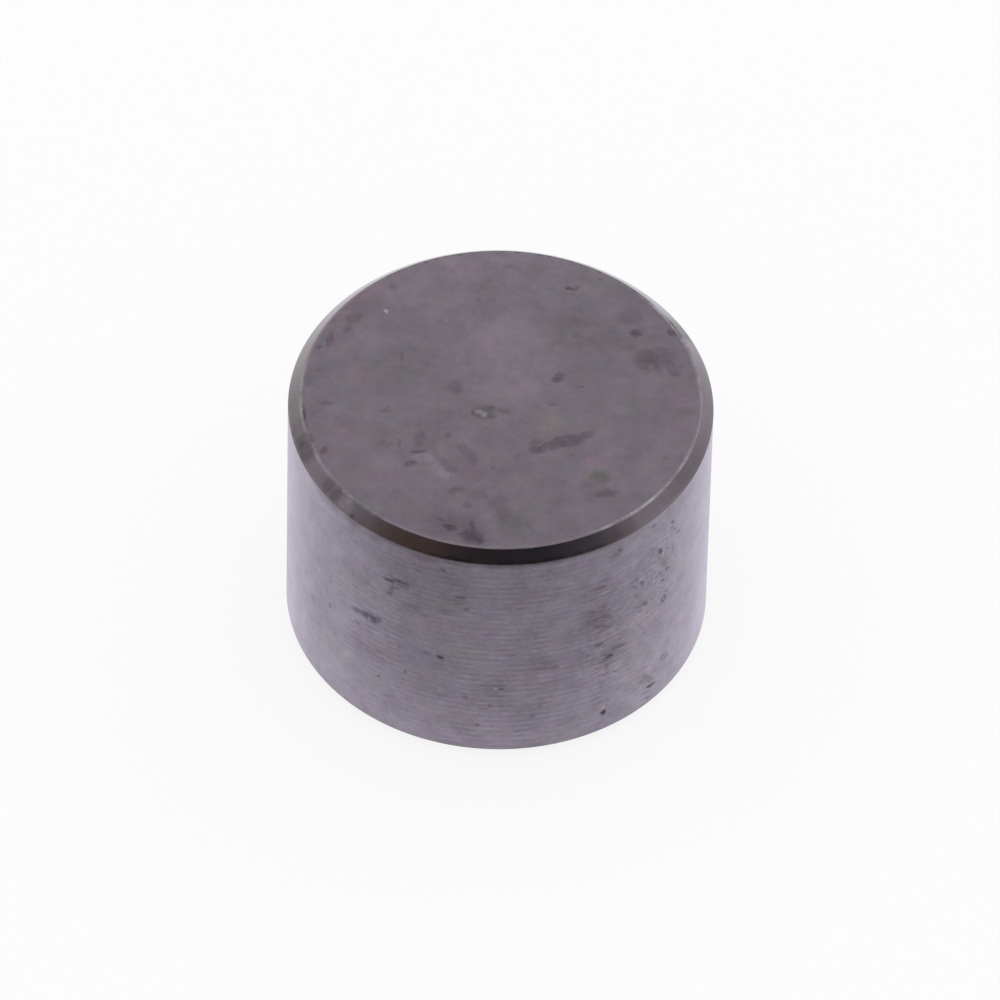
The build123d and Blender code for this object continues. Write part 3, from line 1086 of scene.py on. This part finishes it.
def floor_finish():
    """Pale matt floor, most of the way to white for the camera, so that a soft shadow stays."""
    material = bpy.data.materials.new("floor_white")
    material.use_nodes = True
    tree = material.node_tree
    tree.nodes.clear()
    output = tree.nodes.new("ShaderNodeOutputMaterial")
    blend = tree.nodes.new("ShaderNodeMixShader")
    matt = tree.nodes.new("ShaderNodeBsdfDiffuse")
    matt.inputs["Color"].default_value = (0.95, 0.95, 0.95, 1)
    white = tree.nodes.new("ShaderNodeEmission")
    white.inputs["Strength"].default_value = 1.0
    lift = tree.nodes.new("ShaderNodeMath")
    lift.operation = "MULTIPLY"
    lift.inputs[1].default_value = 0.85  # of the way to white
    tree.links.new(background_share(tree), lift.inputs[0])
    tree.links.new(lift.outputs[0], blend.inputs[0])
    tree.links.new(matt.outputs[0], blend.inputs[1])
    tree.links.new(white.outputs[0], blend.inputs[2])
    tree.links.new(blend.outputs[0], output.inputs["Surface"])
    return material


def add_floor():
    """A floor that reaches past the picture on all sides."""
    half = 0.6
    mesh = bpy.data.meshes.new("floor")
    corners = [(-half, -half, 0), (half, -half, 0), (half, half, 0), (-half, half, 0)]
    mesh.from_pydata(corners, [], [(0, 1, 2, 3)])
    mesh.materials.append(floor_finish())
    floor = bpy.data.objects.new("floor", mesh)
    bpy.context.scene.collection.objects.link(floor)


def add_card(name, left, right, colour):
    """A dark curved card round the camera's side, which the front of the chamfer reflects.

    It reaches from left to right, in degrees from the front, and from foot to top in elevation.
    """
    radius = 0.42
    foot = 24
    top = 58
    columns = 12
    rows = 8
    vertices = []
    for row in range(rows + 1):
        elevation = math.radians(foot + (top - foot) * row / rows)
        for column in range(columns + 1):
            azimuth = math.radians(left + (right - left) * column / columns)
            reach = radius * math.cos(elevation)
            height = radius * math.sin(elevation)
            vertices.append((reach * math.sin(azimuth), -reach * math.cos(azimuth), height))
    faces = []
    for row in range(rows):
        for column in range(columns):
            corner = row * (columns + 1) + column
            faces.append((corner, corner + 1, corner + columns + 2, corner + columns + 1))
    mesh = bpy.data.meshes.new(name)
    mesh.from_pydata(vertices, [], faces)
    material = bpy.data.materials.new(name)
    material.use_nodes = True
    shader = material.node_tree.nodes["Principled BSDF"]
    shader.inputs["Base Color"].default_value = colour
    shader.inputs["Roughness"].default_value = 1.0
    mesh.materials.append(material)
    card = bpy.data.objects.new(name, mesh)
    bpy.context.scene.collection.objects.link(card)
    card.visible_camera = False
    card.visible_diffuse = False
    card.visible_shadow = False


def add_softbox():
    """A large soft lamp behind the shim on the right, which its upper right edge reflects."""
    distance = 0.5
    azimuth = math.radians(45)
    elevation = math.radians(40)
    data = bpy.data.lights.new("softbox", "AREA")
    data.shape = "DISK"
    data.size = 0.28
    data.energy = 0.12
    lamp = bpy.data.objects.new("softbox", data)
    reach = math.cos(elevation)
    way = Vector((reach * math.sin(azimuth), reach * math.cos(azimuth), math.sin(elevation)))
    lamp.location = distance * way
    lamp.rotation_euler = (-lamp.location).to_track_quat("-Z", "Y").to_euler()
    bpy.context.scene.collection.objects.link(lamp)


def add_camera():
    """The photo's view: from the front and 48 degrees above, with a long lens."""
    elevation = math.radians(48.1)
    roll = math.radians(1.4)
    distance = 331.1 * MM
    centre_in_photo = (498.6, 495.1)
    photo_size = 1000
    aim = Vector((0, 0, (thickness + chamfer_leg) / 2))
    data = bpy.data.cameras.new("camera")
    data.sensor_width = 36
    data.lens = 504
    data.shift_x = 0.5 - centre_in_photo[0] / photo_size
    data.shift_y = centre_in_photo[1] / photo_size - 0.5
    data.clip_start = 0.01
    data.clip_end = 5
    camera = bpy.data.objects.new("camera", data)
    bpy.context.scene.collection.objects.link(camera)
    camera.location = aim + distance * Vector((0, -math.cos(elevation), math.sin(elevation)))
    tilt = Euler((math.pi / 2 - elevation, 0, 0)).to_matrix()
    camera.rotation_euler = (tilt @ Euler((0, 0, roll)).to_matrix()).to_euler()
    bpy.context.scene.camera = camera


# The shim on its stage. Its finishes are in the order of PARTS.

shim = build_shim()
for material in (face_finish(), chamfer_finish(), rim_finish(), underside_finish()):
    shim.data.materials.append(material)
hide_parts("valve_shim")
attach(shim, "root")

set_world()
add_floor()
add_card("brown_card", -66, -26, (0.22, 0.14, 0.075, 1))
add_card("black_card", -26, 34, (0.01, 0.01, 0.01, 1))
add_card("grey_card", 34, 62, (0.12, 0.11, 0.105, 1))
add_softbox()
add_camera()
bpy.context.scene.view_settings.view_transform = "Standard"
